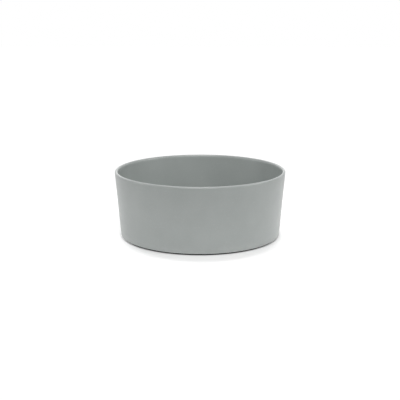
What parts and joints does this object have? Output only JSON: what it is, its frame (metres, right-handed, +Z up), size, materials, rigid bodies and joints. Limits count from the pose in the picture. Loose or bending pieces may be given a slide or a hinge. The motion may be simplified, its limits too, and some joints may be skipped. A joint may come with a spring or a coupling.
{
  "type": "melamine bowl",
  "caption": "Round melamine bowl with straight, slightly flared sides, a rounded rim and a flat floor, standing on a rubber non-slip ring pressed into a groove in its base.",
  "frame": {"origin": "on the bowl's axis, in the plane of the surface that the ring stands on", "axes": "+Z up along the bowl's axis, towards its mouth; the bowl is round, so X and Y are free"},
  "size_m": [0.1996, 0.1996, 0.0775],
  "materials": {
    "melamine": "satin",
    "rubber": "matte"
  },
  "bodies": {
    "root": {"bowl_shell": "melamine", "non_slip_ring": "rubber"}
  },
  "joints": []
}
